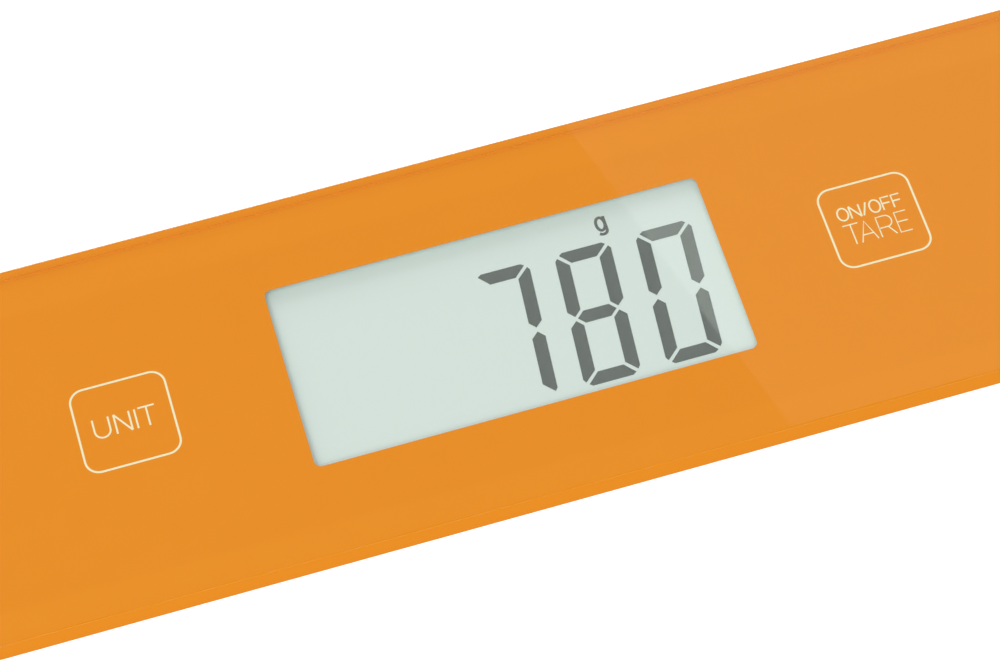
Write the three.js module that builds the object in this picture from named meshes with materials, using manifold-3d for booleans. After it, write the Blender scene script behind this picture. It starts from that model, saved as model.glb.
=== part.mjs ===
// A slim bar-shaped kitchen scale: a printed glass platform on a low moulded housing. Four steel bending
// beams carry the load from four sprung feet, and the display and two touch keys are read through the glass.
// Millimetres, +Z up, origin under the middle of the scale on the plane that it stands on.
import * as THREE from 'three';
import { mergeVertices } from 'three/addons/utils/BufferGeometryUtils.js';
import Module from 'manifold-3d';

// ---- Clearances ----
const seat = 0.1; // between faces that rest on, or are bonded to, each other
const fit = 0.3; // around a piece that nests in another
const screwFit = 0.15; // around a screw's shank in its hole

// ---- Glass platform and its print ----
const glassThickness = 4;
const glassCornerRadius = 7;
const glassEdgeBevel = 0.5;
const topOverhang = 2.5; // glass beyond the housing at the bonded face
const bottomOverhang = 6.2; // glass beyond the housing where the walls meet the bottom cover
const windowLength = 57.3; // clear opening in the print over the display
const windowWidth = 25.9;
const keySize = 12.1; // printed square of a touch key
const keyGap = 14.55; // from the opening to a key
const displayOffset = 0.8; // the opening and the keys sit this far behind the long middle line

// ---- Bonding tape ----
const tapeThickness = 0.4;
const tapeRim = 6;
const tapeInset = 0.8;

// ---- Housing ----
const footHeight = 3; // gap between the housing and the table
const floorThickness = 1.6;
const seamHeight = 2; // from the housing's underside to the joint between cover and case
const undersideRadius = 1.5;
const wall = 1.6;
const deckThickness = 1.5;
const housingRadius = 8;
const lipThickness = 1;
const lipHeight = 1.4;
const rimWidth = 3.4; // from a foot hole to the outside of the housing
const ribThickness = 1;
const ribHeight = 1.2; // of the floor's ribs and of the posts under the bosses
const ribPitch = 11;

// ---- Display, board and touch springs ----
const displayMarginX = 4; // the panel beyond the opening, at each end
const displayMarginY = 3.4;
const frontPlate = 0.9; // the display's front glass
const rearPlate = 1;
const displayRecess = 1.2; // from the platform's underside to the display
const contactLedge = 3.2; // strip of front glass that carries the contacts
const displayLift = 1.3; // from the board to the display's rear glass
const frameWall = 1.4;
const frameShelf = 3.5;
const frameRoom = 0.38; // from the frame to the housing's wall
const zebraWidth = 2;
const zebraMargin = 4.5;
const boardThickness = 1;
const boardEnd = 0.95; // board beyond a key
const boardRadius = 2;
const springWire = 0.7;
const springBaseRadius = 4.2;
const springTipRadius = 3.2;
const springTurns = 3.5;
const keyHoleRadius = 5.4;
const chipRadius = 5.5;
const chipHeight = 1;
const chipX = 8;

// ---- Coin cell and its bay ----
const cellRadius = 10;
const cellHeight = 3.2;
const cellStep = 1.2; // ring between the can and the raised negative face
const contactRoom = 0.9; // from the cell to the board
const leafThickness = 0.25;
const leafWidth = 4;
const leafReach = 8; // of the face contact, from the cell's axis to its solder tab
const leafTab = 3.5;
const leafFlat = 1.2;
const leafKick = 0.2; // rise of the contact's free tip
const bayInset = 18.25; // from the board's left end to the cell's axis
const capThickness = 1.4;
const capNeckWall = 0.9;
const ledgeWidth = 1.6;
const ledgeThickness = 1.1;
const bayWall = 1;
const lugHeight = 0.8;
const lugAngle = 28;
const notchRoom = 6; // a notch is wider than its lug, in degrees
const guideAngle = 26;
const capTurn = 40; // from locked to free, in degrees
const lugCount = 3;
const coinSlotLength = 15;
const coinSlotWidth = 2.2;
const coinSlotDepth = 0.8;

// ---- Screws ----
const coverScrewRadius = 1;
const coverScrewHead = 2;
const coverScrewHeadHeight = 1.1;
const coverScrewLength = 7;
const bossRadius = 3;
const bossGap = 0.75; // from the board to a boss
const boardScrewRadius = 0.8;
const boardScrewHead = 1.8;
const boardScrewHeadHeight = 0.8;
const boardBossRadius = 2.4;
const boardScrewInsetX = 3.2;
const boardScrewInsetY = 3.3;
const beamScrewRadius = 0.9;
const beamScrewHead = 1.7;
const beamScrewHeadHeight = 0.9;
const screwRoom = 1; // material left over the end of a screw

// ---- Load beams and feet ----
const beamGap = 1.5; // from a boss to a beam
const beamLength = 40;
const beamWidth = 8;
const beamThickness = 2.4;
const neckThickness = 1.3;
const neckLength = 10;
const neckStart = 17.5; // from the beam's fixed end
const clampLength = 13.5; // of the beam under its pedestal
const clampScrewStart = 4;
const clampScrewPitch = 6;
const tipMargin = 4; // from the foot's axis to the beam's tip
const pedestalHeight = 1.7;
const pedestalMargin = 0.6;
const gaugeLength = 7;
const gaugeWidth = 5;
const gaugeHeight = 0.5;
const wireRadius = 0.55;
const wireChannelY = 3;
const wireTail = 2; // of the wire on the board
const footTravel = 0.3;
const cupRadius = 4.6;
const cupHeight = 4.6;
const cupWall = 0.4;
const padRadius = 4;
const padReach = 1; // rubber below the cup
const padSocket = 0.7;
const padChamfer = 0.4;
const postRadius = 2.6;
const stemRadius = 1.4;
const stemSlot = 0.8;
const snapLip = 0.6;
const snapHeight = 1.1;
const collarWall = 0.8;
const collarHeight = 1.6;

// ---- Facets ----
const roundSteps = 32;
const smallSteps = 16;
const screwSteps = 10;
const cornerSteps = 3; // each rounded corner has twice as many facets
const coilSteps = 12; // facets along one turn of a spring
const wireSteps = 20; // facets along a wire
const sweep = Math.PI * 2;

// ---- Heights, from the table up ----
const coverUnder = footHeight;
const floorTop = coverUnder + floorThickness;
const seam = coverUnder + seamHeight;
const cellUnder = coverUnder + capThickness + seat;
const cellTop = cellUnder + cellHeight;
const boardUnder = cellTop + contactRoom;
const boardTop = boardUnder + boardThickness;
const rearUnder = boardTop + displayLift;
const frontUnder = rearUnder + rearPlate;
const displayTop = frontUnder + frontPlate;
const glassUnder = displayTop + displayRecess;
const tapeTop = glassUnder - seat;
const tapeUnder = tapeTop - tapeThickness;
const caseTop = tapeUnder - seat;
const deckUnder = caseTop - deckThickness;
const bossEnd = caseTop - screwRoom; // how far a pilot hole may reach
const beamTop = deckUnder - pedestalHeight - seat;
const beamUnder = beamTop - beamThickness;

// ---- Places along and across the bar ----
const keyX = windowLength / 2 + keyGap + keySize / 2;
const boardHalf = keyX + keySize / 2 + boardEnd;
const coverScrewX = boardHalf + bossGap + bossRadius;
const beamRoot = coverScrewX + bossRadius + beamGap;
const beamTip = beamRoot + beamLength;
const footX = beamTip - tipMargin;
const footHole = cupRadius + fit;
const seamHalfLength = footX + footHole + rimWidth;
const glassLength = 2 * (seamHalfLength + bottomOverhang);
const displayLength = windowLength + 2 * displayMarginX;
const displayWidth = windowWidth + 2 * displayMarginY;
const wallSlope = (bottomOverhang - topOverhang) / (caseTop - seam);
const overhangAt = (z) => topOverhang + (caseTop - z) * wallSlope;
const frameHalfWidth = displayWidth / 2 + fit + frameWall;
const glassWidth = 2 * (displayOffset + frameHalfWidth + frameRoom + wall + overhangAt(boardTop));
const seamHalfWidth = glassWidth / 2 - bottomOverhang;
const footY = seamHalfWidth - rimWidth - footHole;
const bossY = seamHalfWidth - wall - fit - lipThickness - (bossRadius + fit);
const bayX = bayInset - boardHalf;
const zebraY = displayOffset + displayWidth / 2 - contactLedge / 2;
const boardScrewX = boardHalf - boardScrewInsetX;
const boardScrewY = displayWidth / 2 - boardScrewInsetY;

// ---- Materials ----
const finish = (color, roughness, metalness = 0) => new THREE.MeshStandardMaterial({ color, roughness, metalness });
const orangeGlass = finish(0xe78e2c, 0.08);
const foam = finish(0xe9e7e2, 0.9);
const whitePlastic = finish(0xe6e6e3, 0.45);
const displayGlass = finish(0xd3dfd8, 0.12);
const framePlastic = finish(0x2b2c2e, 0.5);
const elastomer = finish(0xb9a9a0, 0.7);
const boardLaminate = finish(0x2f6b45, 0.45);
const epoxy = finish(0x17181a, 0.3);
const springSteel = finish(0xc9c9cc, 0.28, 1);
const nickel = finish(0xcfcdc6, 0.3, 1);
const zincSteel = finish(0xb5b8bb, 0.35, 1);
const beamSteel = finish(0xa9adb1, 0.3, 1);
const potting = finish(0xf1efe8, 0.4);
const cupPlastic = finish(0xd4d4d0, 0.5);
const rubber = finish(0x77797a, 0.85);
const wirePlastic = finish(0xb32a24, 0.5);

// ---- Making and cutting solids ----
const wasm = await Module();
wasm.setup();

// Joins shared corners, drops triangles of no area and turns all faces outwards.
function cleaned(geometry) {
  const bare = geometry.clone();
  bare.deleteAttribute('normal');
  bare.deleteAttribute('uv');
  const joined = mergeVertices(bare, 1e-4);
  const corner = [new THREE.Vector3(), new THREE.Vector3(), new THREE.Vector3()];
  const kept = [];
  let volume = 0;
  for (let i = 0; i < joined.index.count; i += 3) {
    const triangle = [0, 1, 2].map((k) => joined.index.getX(i + k));
    if (new Set(triangle).size < 3) continue;
    triangle.forEach((vertex, k) => corner[k].fromBufferAttribute(joined.attributes.position, vertex));
    volume += corner[0].dot(corner[1].clone().cross(corner[2]));
    kept.push(triangle);
  }
  const outward = volume > 0 ? kept : kept.map(([a, b, c]) => [a, c, b]);
  joined.setIndex(outward.flat());
  return joined;
}

function toSolid(geometry) {
  const ready = cleaned(geometry);
  const vertProperties = Float32Array.from(ready.attributes.position.array);
  const triVerts = Uint32Array.from(ready.index.array);
  return new wasm.Manifold(new wasm.Mesh({ numProp: 3, vertProperties, triVerts }));
}

function toGeometry(solid) {
  const mesh = solid.getMesh();
  const geometry = new THREE.BufferGeometry();
  geometry.setAttribute('position', new THREE.BufferAttribute(mesh.vertProperties, 3));
  geometry.setIndex(new THREE.BufferAttribute(mesh.triVerts, 1));
  return geometry;
}

const joinAll = (base, pieces) => pieces.reduce((solid, piece) => solid.add(toSolid(piece)), base);
const cutAll = (base, tools) => tools.reduce((solid, tool) => solid.subtract(toSolid(tool)), base);

function roundedRect(length, width, radius, Kind = THREE.Shape) {
  const [x, y] = [length / 2 - radius, width / 2 - radius];
  const outline = new Kind();
  outline.absarc(x, y, radius, 0, sweep / 4);
  outline.absarc(-x, y, radius, sweep / 4, sweep / 2);
  outline.absarc(-x, -y, radius, sweep / 2, (3 * sweep) / 4);
  outline.absarc(x, -y, radius, (3 * sweep) / 4, sweep);
  outline.closePath();
  return outline;
}

function plate(shape, bottom, top) {
  const depth = top - bottom;
  const geometry = new THREE.ExtrudeGeometry(shape, { depth, bevelEnabled: false, curveSegments: cornerSteps });
  return geometry.translate(0, 0, bottom);
}

const block = (length, width, bottom, top) =>
  new THREE.BoxGeometry(length, width, top - bottom).translate(0, 0, (bottom + top) / 2);

const post = (radius, bottom, top, steps = smallSteps) =>
  new THREE.CylinderGeometry(radius, radius, top - bottom, steps)
    .rotateX(sweep / 4).translate(0, 0, (bottom + top) / 2);

// A closed profile of [radius, height] points turned about the Z axis.
const turned = (profile, steps = roundSteps) =>
  new THREE.LatheGeometry(profile.map(([r, z]) => new THREE.Vector2(r, z)), steps).rotateX(sweep / 4);

const ring = (inner, outer, bottom, top, steps = roundSteps) =>
  turned([[inner, bottom], [outer, bottom], [outer, top], [inner, top], [inner, bottom]], steps);

// A sector of a ring, centred on an angle in degrees.
function sector(inner, outer, angle, width, bottom, top) {
  const [from, to] = [angle - width / 2, angle + width / 2].map(THREE.MathUtils.degToRad);
  const shape = new THREE.Shape();
  shape.absarc(0, 0, outer, from, to, false);
  shape.absarc(0, 0, inner, to, from, true);
  shape.closePath();
  return plate(shape, bottom, top);
}

// The four places that mirror one point over both middle lines.
const mirrored = (x, y) => [[x, y], [-x, y], [-x, -y], [x, -y]];
const cornerNames = ['right_back', 'left_back', 'left_front', 'right_front'];

// ---- The assembly ----
const group = new THREE.Group();

function addPiece(name, shape, material, x = 0, y = 0, turn = 0) {
  const geometry = shape instanceof THREE.BufferGeometry ? cleaned(shape) : toGeometry(shape);
  geometry.computeVertexNormals();
  const mesh = new THREE.Mesh(geometry, material);
  mesh.name = name;
  mesh.position.set(x, y, 0);
  mesh.rotation.z = turn;
  group.add(mesh);
}

// Glass platform: a float glass bar with rounded corners and a ground bevel on both edges.
function glassPlatform() {
  const outline = roundedRect(
    glassLength - 2 * glassEdgeBevel, glassWidth - 2 * glassEdgeBevel, glassCornerRadius - glassEdgeBevel,
  );
  const bar = new THREE.ExtrudeGeometry(outline, {
    depth: glassThickness - 2 * glassEdgeBevel,
    bevelThickness: glassEdgeBevel,
    bevelSize: glassEdgeBevel,
    bevelSegments: 2,
    curveSegments: 2 * cornerSteps,
  });
  return bar.translate(0, 0, glassUnder + glassEdgeBevel);
}
addPiece('glass_platform', glassPlatform(), orangeGlass);

// Bonding tape: die-cut foam sheet with openings for the display and the keys, and a window at each end.
function bondingTape() {
  const [length, width] = [glassLength, glassWidth].map((size) => size - 2 * (topOverhang + tapeInset));
  const sheet = plate(roundedRect(length, width, housingRadius), tapeUnder, tapeTop);
  const displayHole = roundedRect(displayLength + 4 * fit, displayWidth + 4 * fit, 1);
  const windowFrom = keyX + keyHoleRadius + tapeRim;
  const windowTo = length / 2 - tapeRim;
  const endHole = roundedRect(windowTo - windowFrom, width - 2 * tapeRim, 3);
  const [low, high] = [tapeUnder - 1, tapeTop + 1];
  const holes = [plate(displayHole, low, high).translate(0, displayOffset, 0)];
  for (const side of [-1, 1]) {
    holes.push(post(keyHoleRadius, low, high).translate(side * keyX, displayOffset, 0));
    holes.push(plate(endHole, low, high).translate((side * (windowFrom + windowTo)) / 2, 0, 0));
  }
  return cutAll(toSolid(sheet), holes);
}
addPiece('bonding_tape', bondingTape(), foam);

// Upper case: a drafted tray. Its deck is bonded under the glass, with the display opening and two key
// holes, and bosses and pedestals hang from it for the board, the cover and the beams.
function draftedBlock(thickness, bottom, top) {
  const sizeAt = (whole, z) => whole - 2 * (overhangAt(z) + thickness);
  const [topLength, topWidth] = [sizeAt(glassLength, top), sizeAt(glassWidth, top)];
  const tray = plate(roundedRect(topLength, topWidth, housingRadius - thickness), bottom, top);
  const corners = tray.attributes.position;
  for (let i = 0; i < corners.count; i += 1) {
    if (corners.getZ(i) > (bottom + top) / 2) continue;
    corners.setX(i, (corners.getX(i) * sizeAt(glassLength, bottom)) / topLength);
    corners.setY(i, (corners.getY(i) * sizeAt(glassWidth, bottom)) / topWidth);
  }
  return tray;
}

function upperCase() {
  const deckMiddle = (deckUnder + caseTop) / 2;
  const outside = toSolid(draftedBlock(0, seam, caseTop));
  const shell = outside.subtract(toSolid(draftedBlock(wall, seam - 1, deckUnder)));
  const coverBossEnd = floorTop + ribHeight + seat;
  const added = [];
  const removed = [
    plate(roundedRect(displayLength + 2 * fit, displayWidth + 2 * fit, 0.5), deckUnder - 1, caseTop + 1)
      .translate(0, displayOffset, 0),
  ];
  for (const side of [-1, 1]) {
    removed.push(post(keyHoleRadius, deckUnder - 1, caseTop + 1).translate(side * keyX, displayOffset, 0));
  }
  const pilot = (radius, from) => post(radius + screwFit, from - 1, bossEnd, screwSteps);
  for (const [x, y] of coverScrewPlaces) {
    added.push(post(bossRadius, coverBossEnd, deckMiddle).translate(x, y, 0));
    removed.push(pilot(coverScrewRadius, coverBossEnd).translate(x, y, 0));
  }
  for (const [x, y] of mirrored(boardScrewX, boardScrewY)) {
    added.push(post(boardBossRadius, boardTop + seat, deckMiddle, screwSteps).translate(x, y + displayOffset, 0));
    removed.push(pilot(boardScrewRadius, boardTop).translate(x, y + displayOffset, 0));
  }
  const pedestalWidth = beamWidth + 2 * pedestalMargin;
  const pedestalX = beamRoot + clampLength / 2;
  for (const [x, y] of mirrored(pedestalX, footY)) {
    added.push(block(clampLength, pedestalWidth, beamTop + seat, deckMiddle).translate(x, y, 0));
    const ribReach = glassWidth / 2 - footY;
    added.push(block(ribThickness, ribReach, beamTop + seat, deckMiddle)
      .translate(x, y + (Math.sign(y) * ribReach) / 2, 0));
  }
  for (const [x, y] of mirrored(coverScrewX, bossY)) {
    const ribReach = glassWidth / 2 - bossY;
    added.push(block(ribThickness, ribReach, boardTop, deckMiddle)
      .translate(x, y + (Math.sign(y) * ribReach) / 2, 0));
  }
  for (const [x, y] of beamScrewPlaces) removed.push(pilot(beamScrewRadius, beamTop).translate(x, y, 0));
  return cutAll(joinAll(shell, added).intersect(outside), removed);
}

const coverScrewPlaces = [...mirrored(coverScrewX, bossY), [footX, 0], [-footX, 0]];
const clampScrews = [0, 1].map((step) => beamRoot + clampScrewStart + step * clampScrewPitch);
const beamScrewPlaces = clampScrews.flatMap((x) => mirrored(x, footY));
addPiece('upper_case', upperCase(), whitePlastic);

// Bottom cover: the floor plate, with a lip inside the case's walls, a collar round each foot, a post with a
// sunk recess at each screw, stiffening ribs, and the bayonet bay of the coin cell.
const neckInner = cellRadius + fit;
const neckOuter = neckInner + capNeckWall;
const ledgeInner = neckOuter + fit;
const bayInner = ledgeInner + ledgeWidth;
const bayOuter = bayInner + bayWall;
const ledgeUnder = coverUnder + capThickness + seat;
const ledgeTop = ledgeUnder + ledgeThickness;
const lugUnder = ledgeTop + seat;
const lugTop = lugUnder + lugHeight;
const bayTop = cellTop + contactRoom / 2;
const lugAngles = Array.from({ length: lugCount }, (_, i) => 90 + (i * 360) / lugCount);
const notchAngles = lugAngles.map((angle) => angle - capTurn);
const notchWidth = lugAngle + notchRoom;

function bayWalls() {
  const walls = [
    ring(bayInner, bayOuter, coverUnder + floorThickness / 2, bayTop),
    ring(ledgeInner, bayInner + bayWall / 2, ledgeUnder, ledgeTop),
  ];
  for (const angle of notchAngles) {
    walls.push(sector(neckInner + seat, bayInner + bayWall / 2, angle, guideAngle, lugTop + fit, bayTop));
  }
  return walls;
}

function bayOpenings() {
  const openings = notchAngles.map((angle) =>
    sector(ledgeInner - 1, bayInner, angle, notchWidth, coverUnder - 1, ledgeTop + seat));
  openings.push(post(bayInner, coverUnder - 1, ledgeUnder, roundSteps));
  openings.push(post(ledgeInner, coverUnder - 1, ledgeTop + seat, roundSteps));
  return openings;
}

function bottomCover() {
  const [length, width] = [2 * seamHalfLength, 2 * seamHalfWidth];
  const inset = undersideRadius;
  const outline = roundedRect(length - 2 * inset, width - 2 * inset, housingRadius - inset);
  const pan = new THREE.ExtrudeGeometry(outline, {
    depth: seamHeight, bevelThickness: inset, bevelSize: inset, bevelSegments: 4, curveSegments: cornerSteps,
  }).translate(0, 0, coverUnder + inset);
  const trimmed = toSolid(pan).intersect(toSolid(block(length, width, coverUnder, seam - seat)));
  const lipLength = length - 2 * (wall + fit);
  const lipWidth = width - 2 * (wall + fit);
  const lipRadius = housingRadius - wall - fit;
  const lip = plate(roundedRect(lipLength, lipWidth, lipRadius), seam - 2 * seat, seam + lipHeight);
  const insideLength = lipLength - 2 * lipThickness;
  const insideWidth = lipWidth - 2 * lipThickness;
  const inside = plate(roundedRect(insideLength, insideWidth, lipRadius - lipThickness), floorTop, seam + lipHeight + 1);
  const bay = bayWalls().map((piece) => piece.translate(bayX, displayOffset, 0));
  const added = [];
  const removed = bayOpenings().map((piece) => piece.translate(bayX, displayOffset, 0));
  for (let x = ribPitch / 2; x < footX - footHole - collarWall; x += ribPitch) {
    const rib = block(ribThickness, insideWidth + lipThickness, floorTop - seat, floorTop + ribHeight);
    added.push(rib.clone().translate(x, 0, 0));
    if (Math.abs(-x - bayX) > bayOuter + ribThickness) added.push(rib.clone().translate(-x, 0, 0));
  }
  for (const [x, y] of mirrored(footX, footY)) {
    added.push(post(footHole + collarWall, floorTop - seat, floorTop + collarHeight, roundSteps).translate(x, y, 0));
    removed.push(post(footHole, coverUnder - 1, floorTop + collarHeight + 1, roundSteps).translate(x, y, 0));
  }
  const headRoom = coverScrewHead + fit;
  const headSeat = coverUnder + 2 * seat + coverScrewHeadHeight + seat;
  for (const [x, y] of coverScrewPlaces) {
    added.push(post(bossRadius + fit, floorTop - seat, floorTop + ribHeight).translate(x, y, 0));
    removed.push(post(headRoom, coverUnder - 1, headSeat).translate(x, y, 0));
    removed.push(post(coverScrewRadius + screwFit, coverUnder, floorTop + ribHeight + 1, screwSteps).translate(x, y, 0));
  }
  const hollow = trimmed.add(toSolid(lip)).subtract(toSolid(inside));
  return cutAll(joinAll(hollow, [...bay, ...added]), removed);
}
addPiece('bottom_cover', bottomCover(), whitePlastic);

// Display: front and rear glass. The front one is wider and carries the contacts on its ledge.
function displayPanel() {
  const front = block(displayLength, displayWidth, frontUnder - seat, displayTop);
  const rear = block(displayLength, displayWidth - contactLedge, rearUnder, frontUnder);
  return toSolid(front.translate(0, displayOffset, 0))
    .add(toSolid(rear.translate(0, displayOffset - contactLedge / 2, 0)))
    .subtract(toSolid(block(displayLength + 1, contactLedge, rearUnder, frontUnder).translate(0, zebraY, 0)));
}
addPiece('lcd_panel', displayPanel(), displayGlass);

// Display frame: a moulded ring on the board. The panel lies on its shelf, and the zebra strip stands in a
// slot of it.
function displayFrame() {
  const [bottom, top] = [boardTop + seat, deckUnder - seat];
  const length = displayLength + 2 * (fit + frameWall);
  const body = toSolid(plate(roundedRect(length, 2 * frameHalfWidth, frameWall), bottom, top));
  const pocket = block(displayLength + 2 * fit, displayWidth + 2 * fit, rearUnder - seat, top + 1);
  const light = block(displayLength - 2 * frameShelf, displayWidth - 2 * frameShelf - 2 * contactLedge, 0, top + 1);
  const slot = block(displayLength - 2 * zebraMargin + 2 * fit, zebraWidth + 2 * fit, 0, top + 1);
  return cutAll(body, [pocket, light, slot.translate(0, zebraY - displayOffset, 0)]);
}
addPiece('lcd_frame', displayFrame(), framePlastic, 0, displayOffset);

const zebra = block(displayLength - 2 * zebraMargin, zebraWidth, boardTop + seat, frontUnder - 2 * seat);
addPiece('zebra_strip', zebra, elastomer, 0, zebraY);

// Circuit board: it reaches under both keys and hangs from the deck on four screws.
const board = cutAll(
  toSolid(plate(roundedRect(2 * boardHalf, displayWidth, boardRadius), boardUnder, boardTop)),
  mirrored(boardScrewX, boardScrewY).map(([x, y]) =>
    post(boardScrewRadius + screwFit, boardUnder - 1, boardTop + 1, screwSteps).translate(x, y, 0)),
);
addPiece('circuit_board', board, boardLaminate, 0, displayOffset);

// Chip: bonded on the underside of the board under a drop of epoxy.
const blobEdge = Array.from({ length: 6 }, (_, i) => (i * sweep) / 20);
const blob = turned([
  [0, boardUnder - seat],
  ...blobEdge.map((a) => [chipRadius * Math.cos(a), boardUnder - seat - chipHeight * Math.sin(a)]).slice(0, 5),
  [0, boardUnder - seat - chipHeight],
], smallSteps);
addPiece('chip_blob', blob, epoxy, chipX, displayOffset);

// A round section swept along a curve.
function sweptWire(curve, radius, steps) {
  const section = new THREE.Shape();
  section.absarc(0, 0, radius, 0, sweep);
  return new THREE.ExtrudeGeometry(section, { steps, extrudePath: curve, curveSegments: cornerSteps, bevelEnabled: false });
}

// Touch spring: a cone of spring wire between the board and the glass under a key.
class ConeHelix extends THREE.Curve {
  getPoint(t, target = new THREE.Vector3()) {
    const radius = springBaseRadius + (springTipRadius - springBaseRadius) * t - springWire / 2;
    const low = boardTop + seat + springWire / 2;
    const high = glassUnder - seat - springWire / 2;
    const angle = t * springTurns * sweep;
    return target.set(radius * Math.cos(angle), radius * Math.sin(angle), low + (high - low) * t);
  }
}
for (const [name, side] of [['key_spring_left', -1], ['key_spring_right', 1]]) {
  const spring = sweptWire(new ConeHelix(), springWire / 2, Math.round(springTurns * coilSteps));
  addPiece(name, spring, springSteel, side * keyX, displayOffset);
}

// Coin cell: the can stands on the cap, with its smaller negative face up.
const cell = turned([
  [0, cellUnder],
  [cellRadius - 0.3, cellUnder],
  [cellRadius, cellUnder + 0.3],
  [cellRadius, cellTop - 0.4],
  [cellRadius - 0.3, cellTop - 0.2],
  [cellRadius - cellStep, cellTop - 0.2],
  [cellRadius - cellStep - 0.3, cellTop],
  [0, cellTop],
]);
addPiece('coin_cell', cell, nickel, bayX, displayOffset);

// Contacts: two spring strips soldered under the board. One bears on the cell's face, one on its side.
function bentStrip(points, thickness, width) {
  const path = points.map(([x, z]) => new THREE.Vector2(x, z));
  const back = points.map(([x, z]) => new THREE.Vector2(x, z + thickness)).reverse();
  const strip = new THREE.ExtrudeGeometry(new THREE.Shape([...path, ...back]), { depth: width, bevelEnabled: false });
  return strip.rotateX(sweep / 4).translate(0, width / 2, 0);
}
const leafHigh = boardUnder - seat - leafThickness;
const leafLow = cellTop + seat;
const faceLeaf = bentStrip([
  [-leafReach, leafHigh],
  [leafTab - leafReach, leafHigh],
  [-leafFlat, leafLow],
  [leafFlat, leafLow],
  [2 * leafFlat, leafLow + leafKick],
], leafThickness, leafWidth);
addPiece('cell_contact_top', faceLeaf, nickel, bayX, displayOffset);

const sideFlange = block(bayOuter - cellRadius, leafWidth, leafHigh, boardUnder - seat)
  .translate((bayOuter + cellRadius) / 2 + fit, 0, 0);
const sideLeaf = block(leafThickness, leafWidth, lugTop + 2 * fit, leafHigh + seat)
  .translate(cellRadius + fit + leafThickness / 2, 0, 0);
addPiece('cell_contact_side', toSolid(sideFlange).add(toSolid(sideLeaf)), nickel, bayX, displayOffset);

// Battery cap: a disc flush with the cover. Its neck carries the cell and three lugs that lock over the
// bay's ledge, and a coin turns it by the slot.
function batteryCap() {
  const discTop = coverUnder + capThickness;
  const disc = turned([
    [0, coverUnder],
    [bayInner - fit - 0.3, coverUnder],
    [bayInner - fit, coverUnder + 0.3],
    [bayInner - fit, discTop],
    [0, discTop],
  ]);
  const neck = ring(neckInner, neckOuter, discTop - seat, lugTop);
  const lugs = lugAngles.map((angle) =>
    sector(neckOuter - capNeckWall / 2, bayInner - fit, angle, lugAngle, lugUnder, lugTop));
  const slot = plate(roundedRect(coinSlotLength, coinSlotWidth, coinSlotWidth / 2 - 0.01),
    coverUnder - 1, coverUnder + coinSlotDepth);
  return cutAll(joinAll(toSolid(disc), [neck, ...lugs]), [slot]);
}
addPiece('battery_cap', batteryCap(), whitePlastic, bayX, displayOffset);

// Load beams: steel strips with a milled neck. The root is clamped to the case, the tip takes the foot.
function loadBeam() {
  const middle = (beamRoot + beamTip) / 2;
  const plan = toSolid(plate(roundedRect(beamLength, beamWidth, 1.5), beamUnder - 1, beamTop + 1).translate(middle, 0, 0));
  const hollow = beamThickness - neckThickness;
  const [from, to] = [beamRoot + neckStart, beamRoot + neckStart + neckLength];
  const side = new THREE.Shape();
  side.moveTo(beamRoot - 1, beamUnder);
  side.lineTo(from, beamUnder);
  side.absarc(from + hollow, beamUnder, hollow, sweep / 2, sweep / 4, true);
  side.absarc(to - hollow, beamUnder, hollow, sweep / 4, 0, true);
  side.lineTo(beamTip + 1, beamUnder);
  side.lineTo(beamTip + 1, beamTop);
  side.lineTo(beamRoot - 1, beamTop);
  side.closePath();
  const profile = new THREE.ExtrudeGeometry(side, { depth: 2 * beamWidth, bevelEnabled: false, curveSegments: cornerSteps })
    .rotateX(sweep / 4).translate(0, beamWidth, 0);
  const holes = clampScrews.map((x) => post(beamScrewRadius + screwFit, beamUnder - 1, beamTop + 1, screwSteps)
    .translate(x, 0, 0));
  holes.push(post(stemRadius + fit, beamUnder - 1, beamTop + 1).translate(footX, 0, 0));
  return cutAll(plan.intersect(toSolid(profile)), holes);
}

// Foot cup: it slides in the cover's collar. A split stem snaps through the beam, and the shoulder under the
// beam stays clear of it by the foot's travel, because the rigid beam can't bend here.
function footCup() {
  const cupTop = padReach + cupHeight;
  const shoulder = beamUnder - footTravel - seat;
  const snapUnder = beamTop + seat;
  const socketRadius = padRadius + 2 * seat;
  const body = turned([
    [0, padReach + padSocket],
    [socketRadius, padReach + padSocket],
    [socketRadius, padReach],
    [cupRadius, padReach],
    [cupRadius, cupTop - cupWall],
    [cupRadius - cupWall, cupTop],
    [postRadius, cupTop],
    [postRadius, shoulder],
    [stemRadius, shoulder],
    [stemRadius, snapUnder],
    [stemRadius + snapLip, snapUnder],
    [stemRadius + snapLip, snapUnder + snapHeight / 3],
    [stemRadius - snapLip / 2, snapUnder + snapHeight],
    [0, snapUnder + snapHeight],
  ], smallSteps);
  const split = block(stemSlot, 4 * stemRadius, beamUnder, snapUnder + snapHeight + 1);
  return cutAll(toSolid(body), [split]);
}

// Foot pad: a rubber disc bonded in the cup.
function footPad() {
  return turned([
    [0, 0],
    [padRadius - padChamfer, 0],
    [padRadius, padChamfer],
    [padRadius, padReach + padSocket - seat],
    [0, padReach + padSocket - seat],
  ], smallSteps);
}

// Gauge wire: from the strain gauge down the middle channel to the end of the board.
function gaugeWire(sideX, sideY) {
  const gaugeX = beamRoot + neckStart + neckLength / 2;
  const height = beamTop + 2 * seat + wireRadius;
  const boardHeight = boardTop + seat + wireRadius;
  const start = footY - gaugeWidth / 2 - fit;
  const points = [
    [gaugeX, start, height],
    [gaugeX - wireRadius, start - wireRadius * 2, height],
    [beamRoot + clampLength, wireChannelY + wireRadius, height],
    [beamRoot + clampLength / 2, wireChannelY, height],
    [coverScrewX, wireChannelY, height],
    [boardHalf, wireChannelY, Math.max(height, boardHeight)],
    [boardHalf - wireTail, wireChannelY, boardHeight],
  ].map(([x, y, z]) => new THREE.Vector3(sideX * x, sideY * y, z));
  return sweptWire(new THREE.CatmullRomCurve3(points, false, 'centripetal'), wireRadius, wireSteps);
}

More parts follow.
